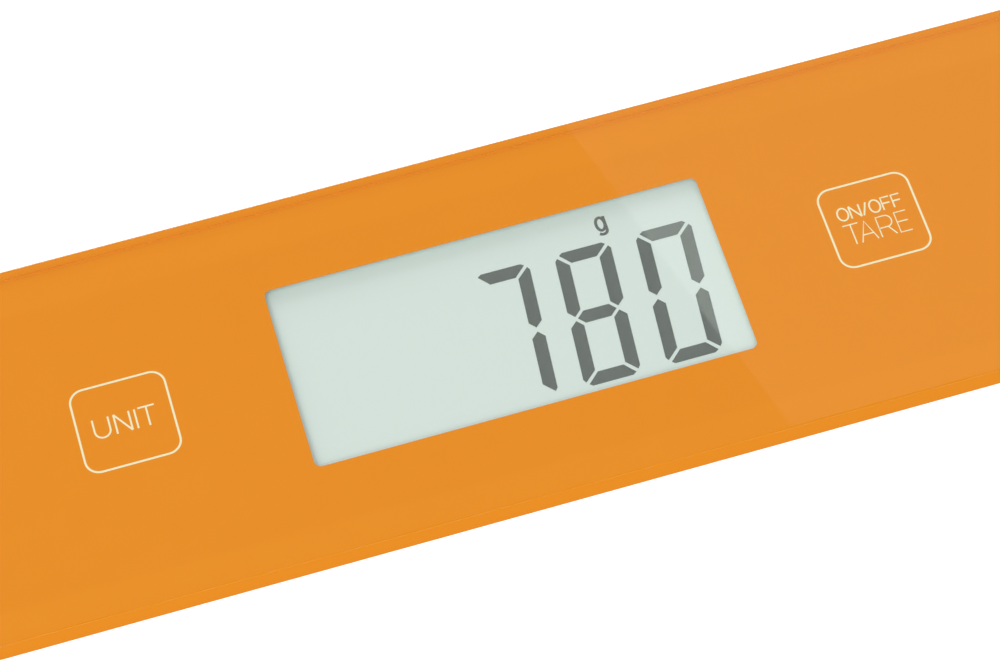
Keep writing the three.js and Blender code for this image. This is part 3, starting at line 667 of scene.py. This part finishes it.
def refined(node, name, material, edge, segments, slot, body="root"):
    """Stands for a CAD node by a copy of its mesh with rounded edges."""
    placed(eased(copied(node, name, material), edge, segments), body, slot, node)


abs_white, abs_tree = new_material("abs_white")
grain = speckle(abs_tree, "Noise", 3400.0, Detail=3.0)
flow = speckle(abs_tree, "Noise", 30.0, Detail=2.0)
principled(abs_tree, Base_Color=mixed(abs_tree, flow, (0.80, 0.80, 0.775), (0.845, 0.84, 0.82)),
           Roughness=grain * 0.16 + 0.36, Normal=bump(abs_tree, grain, 0.03 * MM))
moulded_edge = 0.15 * MM
refined("upper_case", "case_tray", abs_white, moulded_edge, segments=2, slot="white_plastic")

# ---- Display holder ----
# A moulded frame of black plastic that holds the display up to the glass. In a slot of it stands the rubber
# connector, which carries the board's signals up to the display.
plastic_black, black_tree = new_material("plastic_black")
black_grain = speckle(black_tree, "Noise", 2600.0, Detail=3.0)
holder_black = mixed(black_tree, black_grain, (0.013, 0.013, 0.014), (0.024, 0.024, 0.025))
principled(black_tree, Base_Color=holder_black, Roughness=black_grain * 0.2 + 0.38,
           Normal=bump(black_tree, black_grain, 0.03 * MM))
refined("lcd_frame", "display_holder", plastic_black, moulded_edge, segments=2, slot="black_plastic")

# The connector is silicone rubber with a dark conducting stripe every half millimetre.
zebra_rubber, zebra_tree = new_material("zebra_rubber")
zebra_bands = zebra_tree.node("ShaderNodeTexWave", {"wave_type": "BANDS", "bands_direction": "X"}, {
    "Vector": on_piece(zebra_tree), "Scale": 640.0, "Distortion": 0.0}, out=1)
stripes = mixed(zebra_tree, zebra_bands > 0.5, (0.62, 0.47, 0.44), (0.03, 0.03, 0.032))
principled(zebra_tree, Base_Color=stripes, Roughness=0.55, Normal=bump(zebra_tree, zebra_bands, 0.02 * MM))
finish_node("zebra_strip", zebra_rubber)

# ---- Circuit board ----
# A single sheet of glass-epoxy laminate under green solder mask. Tinned pads lie under the touch springs,
# and tracks run along it to the chip, which is bonded on the underside under a drop of black epoxy.
spring_boxes = {node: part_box(node) for node in ("key_spring_left", "key_spring_right")}


def base_of(low, high):
    """The middle of the underside of a box."""
    return Vector(((low.x + high.x) / 2, (low.y + high.y) / 2, low.z))


def distance_from(tree, point):
    """How far a place on the piece is, in plan, from a point."""
    flat = tree.node("ShaderNodeVectorMath", {"operation": "MULTIPLY"}, {0: on_piece(tree), 1: (1, 1, 0)})
    return tree.node("ShaderNodeVectorMath", {"operation": "DISTANCE"}, {0: flat, 1: (*point.xy, 0)}, out=1)


solder_mask, mask_tree = new_material("solder_mask")
weave = mask_tree.node("ShaderNodeTexBrick", {"offset": 0.5}, {
    "Vector": on_piece(mask_tree), "Scale": 900.0, "Mortar Size": 0.08, "Brick Width": 0.9,
    "Row Height": 0.9}, out=1)
track_rows = mask_tree.node("ShaderNodeTexBrick", {"offset": 0.37}, {
    "Vector": on_piece(mask_tree), "Scale": 1000.0, "Color1": (0, 0, 0, 1), "Color2": (1, 1, 1, 1),
    "Mortar": (0, 0, 0, 1), "Mortar Size": 0.2, "Mortar Smooth": 0.0, "Brick Width": 17.0, "Row Height": 0.8})
tracks = track_rows > 0.5
tinned_radius = 5.4 * MM
pads = mask_tree.most(*[
    distance_from(mask_tree, base_of(*box)) < tinned_radius for box in spring_boxes.values()])
green = mixed(mask_tree, tracks, (0.008, 0.09, 0.03), (0.016, 0.15, 0.05))
principled(mask_tree, Base_Color=mixed(mask_tree, pads, green, (0.72, 0.7, 0.66)), Metallic=pads * 0.9,
           Roughness=pads * 0.06 + 0.24, Normal=bump(mask_tree, weave * 0.3 + tracks, 0.03 * MM))
refined("circuit_board", "board", solder_mask, edge=0.06 * MM, segments=1, slot="board")

# Profiles are swept round a circle of this radius, in metres, and moved in by as much, to the axis.
HUB = 1.0


def swept_round(tree, profile, steps):
    """A profile swept round the hub's circle, as a closed skin that faces out."""
    circle = tree.node("GeometryNodeCurvePrimitiveCircle", sockets={"Resolution": steps, "Radius": HUB})
    level = tree.node("GeometryNodeSetCurveNormal", {"mode": "Z_UP"}, {"Curve": circle})
    swept = tree.node("GeometryNodeCurveToMesh", sockets={"Curve": level, "Profile Curve": profile})
    merged = tree.node("GeometryNodeMergeByDistance", sockets={"Geometry": swept, "Distance": 2e-6})
    return tree.node("GeometryNodeFlipFaces", sockets={"Mesh": merged})


def turned_tree():
    """A solid of revolution: mesh edges in plan, x from the axis and y up, turned round an upright axis."""
    group, tree, given = new_group("turned", {
        "Geometry": ["Geometry"], "Vector": ["Place"], "Int": ["Steps"]})
    profile = tree.node("GeometryNodeMeshToCurve", sockets={"Mesh": given("Geometry")})
    skin = swept_round(tree, profile, given("Steps"))
    moved = tree.node("GeometryNodeTransform", sockets={"Geometry": skin, "Translation": given("Place")})
    ended(tree, moved, given("Material"))
    return group


def profile_mesh(name, points):
    """The profile of a turned piece, from its axis at the bottom round to its axis at the top."""
    return strokes_mesh(name, [[(radius - HUB, -height) for radius, height in points]], 0)


turned = turned_tree()
epoxy_black, epoxy_tree = new_material("epoxy_black")
epoxy_flow = speckle(epoxy_tree, "Noise", 420.0, Detail=2.0)
principled(epoxy_tree, Base_Color=mixed(epoxy_tree, epoxy_flow, (0.006, 0.006, 0.007), (0.014, 0.013, 0.013)),
           Roughness=epoxy_flow * 0.12 + 0.16, Normal=bump(epoxy_tree, epoxy_flow, 0.12 * MM))
blob_low, blob_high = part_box("chip_blob")
blob_radius = (blob_high.x - blob_low.x) / 2
blob_height = blob_high.z - blob_low.z
blob_steps = 14
blob_turns = [math.radians(90 * i / blob_steps) for i in range(blob_steps + 1)]
blob_profile = [(blob_radius * math.sin(a) ** 0.9, blob_height * (1 - math.cos(a))) for a in blob_turns]
blob_profile.append((0, blob_height))
blob = grown("chip_cover", turned, epoxy_black, profile_mesh("chip_cover", blob_profile),
             place=base_of(blob_low, blob_high), steps=48)
placed(eased(blob, 0), "root", "epoxy", "chip_blob")


# ---- Touch springs ----
# Two cones of tinned spring wire stand on the board's pads and press up on the glass under the keys, to
# carry a finger's touch down to the chip.
def coil_nodes(tree, turns, base, tip, height, wire, per_turn, sides):
    """A round wire wound in a cone from the origin up."""
    path = tree.node("GeometryNodeCurveSpiral", sockets={
        "Resolution": per_turn, "Rotations": turns, "Start Radius": base, "End Radius": tip,
        "Height": height})
    section = tree.node("GeometryNodeCurvePrimitiveCircle", sockets={"Resolution": sides, "Radius": wire})
    return tree.node("GeometryNodeCurveToMesh", sockets={
        "Curve": path, "Profile Curve": section, "Fill Caps": True})


def coil_tree():
    """One coil spring, at a place."""
    sizes = ["Turns", "Base", "Tip", "Height", "Wire"]
    group, tree, given = new_group("coil", {"Float": sizes, "Vector": ["Place"]})
    coil = coil_nodes(tree, *map(given, sizes), per_turn=28, sides=10)
    moved = tree.node("GeometryNodeTransform", sockets={"Geometry": coil, "Translation": given("Place")})
    ended(tree, moved, given("Material"))
    return group


spring_tin, tin_tree = new_material("spring_tin")
tin_haze = speckle(tin_tree, "Noise", 1500.0, Detail=2.0)
principled(tin_tree, Base_Color=mixed(tin_tree, tin_haze, (0.62, 0.61, 0.58), (0.76, 0.75, 0.72)),
           Metallic=1.0, Roughness=tin_haze * 0.15 + 0.2)
spring_wire = 0.35 * MM
coil = coil_tree()
for node, (low, high) in spring_boxes.items():
    place = base_of(low, high)
    place.z += spring_wire
    spring = grown(node.replace("key", "touch"), coil, spring_tin, turns=3.5, base=3.85 * MM, tip=2.85 * MM,
                   height=high.z - low.z - 2 * spring_wire, wire=spring_wire, place=place)
    placed(eased(spring, 0), "root", "spring_steel", node)

# ---- Coin cell and contacts ----
# A bare lithium coin cell: a nickel-plated can crimped over a grey gasket round its smaller negative cap.
# Two nickel strips soldered to the board press on its face and on its side.
cell_low, cell_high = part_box("coin_cell")
cell_radius = (cell_high.x - cell_low.x) / 2
rim_drop = 0.42 * MM  # how deep under the cell's top the gasket shows
gasket_inside, gasket_outside = cell_radius - 1.25 * MM, cell_radius - 0.9 * MM
cell_nickel, cell_tree = new_material("cell_nickel")
from_axis = distance_from(cell_tree, base_of(cell_low, cell_high))
brushed = cell_tree.node("ShaderNodeTexNoise", {"noise_dimensions": "1D"}, {
    "W": from_axis * 9000.0, "Scale": 1.0, "Detail": 2.0})
cell_height = cell_tree.node("ShaderNodeSeparateXYZ", sockets={0: on_piece(cell_tree)}, out=2)
gasket = (cell_height > cell_high.z - rim_drop) * (from_axis > gasket_inside) * (from_axis < gasket_outside)
steel_colour = mixed(cell_tree, brushed, (0.6, 0.59, 0.56), (0.74, 0.73, 0.7))
principled(cell_tree, Base_Color=mixed(cell_tree, gasket, steel_colour, (0.12, 0.12, 0.12)),
           Metallic=1 - gasket, Roughness=brushed * 0.18 + 0.2, Normal=bump(cell_tree, brushed, 0.01 * MM))
refined("coin_cell", "cell", cell_nickel, edge=0.08 * MM, segments=2, slot="nickel")

strip_nickel, strip_tree = new_material("strip_nickel")
rolled = strip_tree.node("ShaderNodeTexWave", {"wave_type": "BANDS", "bands_direction": "Y"}, {
    "Vector": on_piece(strip_tree), "Scale": 1500.0, "Distortion": 6.0, "Detail": 2.0}, out=1)
principled(strip_tree, Base_Color=mixed(strip_tree, rolled, (0.64, 0.62, 0.58), (0.72, 0.7, 0.66)),
           Metallic=1.0, Roughness=rolled * 0.1 + 0.25)
for side in ("top", "side"):
    refined(f"cell_contact_{side}", f"contact_{side}", strip_nickel, edge=0.05 * MM, segments=1, slot="nickel")

# ---- Load beams ----
# Four milled steel strips, each clamped at its root by two screws. The thin neck bends under the load, and
# the strain gauge on it sits under a soft white compound, with a red lead to the board.
corners = ("right_back", "left_back", "left_front", "right_front")
milled_steel, milled_tree = new_material("milled_steel")
milling = milled_tree.node("ShaderNodeTexWave", {"wave_type": "BANDS", "bands_direction": "X"}, {
    "Vector": on_piece(milled_tree), "Scale": 900.0, "Distortion": 3.0, "Detail": 2.0,
    "Detail Scale": 2.0}, out=1)
steel_cloud = speckle(milled_tree, "Noise", 160.0, Detail=3.0)
principled(milled_tree, Base_Color=mixed(milled_tree, steel_cloud, (0.46, 0.46, 0.45), (0.58, 0.58, 0.57)),
           Metallic=1.0, Roughness=milling * 0.14 + 0.26, Normal=bump(milled_tree, milling, 0.012 * MM))
gauge_compound, compound_tree = new_material("gauge_compound")
compound_flow = speckle(compound_tree, "Noise", 300.0, Detail=2.0)
compound_colour = mixed(compound_tree, compound_flow, (0.76, 0.75, 0.7), (0.85, 0.84, 0.8))
principled(compound_tree, Base_Color=compound_colour, Roughness=0.32,
           Normal=bump(compound_tree, compound_flow, 0.15 * MM))
for corner in corners:
    refined(f"load_beam_{corner}", f"beam_{corner}", milled_steel, edge=0.12 * MM, segments=2,
            slot="beam_steel")
    refined(f"gauge_pad_{corner}", f"gauge_{corner}", gauge_compound, edge=0.2 * MM, segments=3,
            slot="potting")

wire_enamel, enamel_tree = new_material("wire_enamel")
wire_haze = speckle(enamel_tree, "Noise", 900.0)
principled(enamel_tree, Base_Color=mixed(enamel_tree, wire_haze, (0.5, 0.045, 0.03), (0.62, 0.07, 0.04)),
           Roughness=0.35)
for corner in corners:
    finish_node(f"gauge_wire_{corner}", wire_enamel)

# ---- Feet ----
# Each beam's tip carries a black plastic cup, snapped through it by a split stem, with a round pad of soft
# rubber bonded in its mouth. The pad's face has two moulded grooves.
rubber_grey, rubber_tree = new_material("rubber_grey")
rubber_grain = speckle(rubber_tree, "Noise", 2400.0, Detail=4.0)
rubber_colour = mixed(rubber_tree, rubber_grain, (0.035, 0.035, 0.036), (0.06, 0.06, 0.06))
principled(rubber_tree, Base_Color=rubber_colour, Roughness=rubber_grain * 0.2 + 0.6,
           Normal=bump(rubber_tree, rubber_grain, 0.04 * MM))
pad_chamfer, groove_depth, groove_width = 0.4 * MM, 0.25 * MM, 0.4 * MM
groove_radii = 1.3 * MM, 2.5 * MM
for corner in corners:
    refined(f"foot_cup_{corner}", f"cup_{corner}", plastic_black, edge=0.1 * MM, segments=2,
            slot="foot_plastic", body=f"foot_{corner}")
    low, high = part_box(f"foot_pad_{corner}")
    pad_radius, pad_height = (high.x - low.x) / 2, high.z - low.z
    pad_profile = [(0, 0)]
    for groove in groove_radii:
        pad_profile += [(groove, 0), (groove + groove_width * 0.3, groove_depth),
                        (groove + groove_width * 0.7, groove_depth), (groove + groove_width, 0)]
    pad_profile += [(pad_radius - pad_chamfer, 0), (pad_radius, pad_chamfer), (pad_radius, pad_height),
                    (0, pad_height)]
    pad = grown(f"pad_{corner}", turned, rubber_grey, profile_mesh(f"pad_{corner}", pad_profile),
                place=base_of(low, high), steps=48)
    placed(eased(pad, width=0.06 * MM, segments=2), f"foot_{corner}", "foot_rubber", f"foot_pad_{corner}")

# ---- Bottom cover and battery cap ----
# The cover is moulded in the same white ABS and closes the case from below. The cap locks in its bay by
# three lugs and a short turn, and a coin turns it by the slot across it.
refined("bottom_cover", "cover", abs_white, moulded_edge, segments=2, slot="white_plastic")
refined("battery_cap", "cap", abs_white, moulded_edge, segments=2, slot="white_plastic", body="battery_cap")


# ---- Screws ----
# Zinc-plated thread-forming screws with pan heads and cross recesses, all driven from below: six hold the
# cover, four the board, and two each beam.
def screw_tree():
    """Screws with their heads down on the points of a mesh: a turned body, a cross recess and a thread."""
    group, tree, given = new_group("pan_screw", {
        "Geometry": ["Geometry"], "Object": ["Profile"],
        "Float": ["Head", "Recess", "Shank", "Thread start", "Thread length", "Turns"]})
    outline = tree.node("GeometryNodeObjectInfo", sockets={"Object": given("Profile")}, out="Geometry")
    profile = tree.node("GeometryNodeMeshToCurve", sockets={"Mesh": outline})
    body = swept_round(tree, profile, 32)
    blades = []
    for long, short in (("X", "Y"), ("Y", "X")):
        size = tree.node("ShaderNodeCombineXYZ", sockets={
            long: given("Head") * 1.15, short: given("Head") * 0.26, "Z": given("Recess") * 2})
        blades.append(tree.node("GeometryNodeMeshCube", sockets={"Size": size}))
    cut = tree.node("GeometryNodeMeshBoolean", {"operation": "DIFFERENCE", "solver": "EXACT"}, {
        "Mesh 1": body, "Mesh 2": blades})
    thread = coil_nodes(tree, given("Turns"), given("Shank"), given("Shank"), given("Thread length"),
                        given("Shank") * 0.16, per_turn=20, sides=4)
    raise_thread = tree.node("ShaderNodeCombineXYZ", sockets={"Z": given("Thread start")})
    raised = tree.node("GeometryNodeTransform", sockets={"Geometry": thread, "Translation": raise_thread})
    whole = tree.node("GeometryNodeJoinGeometry", sockets={0: [cut, raised]})
    points = tree.node("GeometryNodeMeshToPoints", sockets={"Mesh": given("Geometry")})
    screws = tree.node("GeometryNodeInstanceOnPoints", sockets={"Points": points, "Instance": whole})
    ended(tree, screws, given("Material"))
    return group


zinc_plate, zinc_tree = new_material("zinc_plate")
zinc_bloom = speckle(zinc_tree, "Noise", 700.0, Detail=3.0)
principled(zinc_tree, Base_Color=mixed(zinc_tree, zinc_bloom, (0.55, 0.57, 0.6), (0.68, 0.69, 0.7)),
           Metallic=1.0, Roughness=zinc_bloom * 0.2 + 0.22)
pan_screw = screw_tree()
# Each group's nodes, the height of its heads and the radius of its shanks.
screw_groups = {
    "cover_screws": ([f"cover_screw_{place}" for place in (*corners, "right_end", "left_end")],
                     1.1 * MM, 1.0 * MM),
    "board_screws": ([f"board_screw_{corner}" for corner in corners], 0.8 * MM, 0.8 * MM),
    "beam_screws": ([f"beam_screw_{corner}_{end}" for end in ("inner", "outer") for corner in corners],
                    0.9 * MM, 0.9 * MM),
}
for name, (nodes, head_height, shank) in screw_groups.items():
    boxes = [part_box(node) for node in nodes]
    low, high = boxes[0]
    head, length = (high.x - low.x) / 2, high.z - low.z
    recess, core, point = head_height * 0.55, shank * 0.86, shank * 0.3
    crown_turns = [math.radians(angle) for angle in (0, 20, 40, 55, 68, 80, 90)]
    crown = [(head * math.sin(a), recess * (1 - math.cos(a))) for a in crown_turns]
    body = crown + [(head, head_height), (core, head_height), (core, length - shank), (point, length),
                    (0, length)]
    outline = bpy.data.objects.new(name + "_profile", profile_mesh(name + "_profile", body))
    scene.collection.objects.link(outline)
    spots = bpy.data.meshes.new(name)
    spots.from_pydata([base_of(*box) for box in boxes], [], [])
    thread_length = length - head_height - 1.4 * shank
    thread_pitch = 0.75 * shank
    screws = grown(name, pan_screw, zinc_plate, spots, profile=outline, head=head, recess=recess, shank=core,
                   thread_start=head_height + 0.3 * shank, thread_length=thread_length,
                   turns=thread_length / thread_pitch)
    bpy.data.objects.remove(outline)
    placed(eased(screws, 0), "root", "zinc_steel", *nodes)
